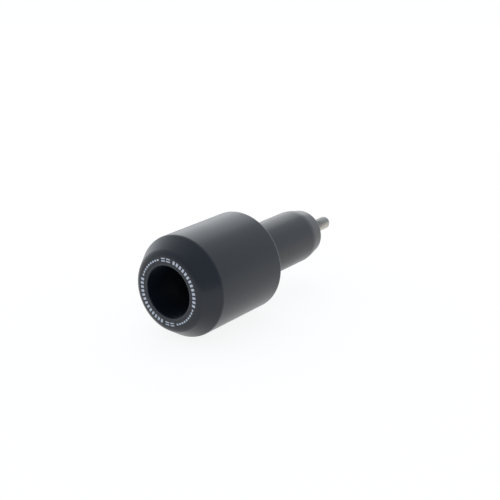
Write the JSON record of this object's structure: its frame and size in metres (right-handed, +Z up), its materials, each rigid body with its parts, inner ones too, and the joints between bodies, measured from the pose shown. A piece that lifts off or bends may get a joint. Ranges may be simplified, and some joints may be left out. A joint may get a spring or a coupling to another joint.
{
  "type": "motorcycle frame slider",
  "caption": "Round black nylon slider on a tapered aluminium spacer, held by a long socket head screw whose free thread goes into the frame.",
  "frame": {"origin": "centre of the spacer's end face, which seats on the motorcycle's frame", "axes": "+Y along the bolt towards the frame, the nose to -Y, +Z up, +X to the right when looking along +Y"},
  "size_m": [0.06, 0.16, 0.06],
  "materials": {
    "nylon_black": "satin black nylon, turned",
    "anodised_black": "satin black anodised, turned",
    "bare_aluminium": "bare turned aluminium",
    "stainless": "plain stainless steel",
    "nose_marks": "white pad-printed ink"
  },
  "bodies": {
    "root": {"bobbin": "nylon_black", "core_sleeve": "bare_aluminium", "spacer": "anodised_black", "head_washer": "stainless", "bolt": "stainless"}
  },
  "joints": []
}
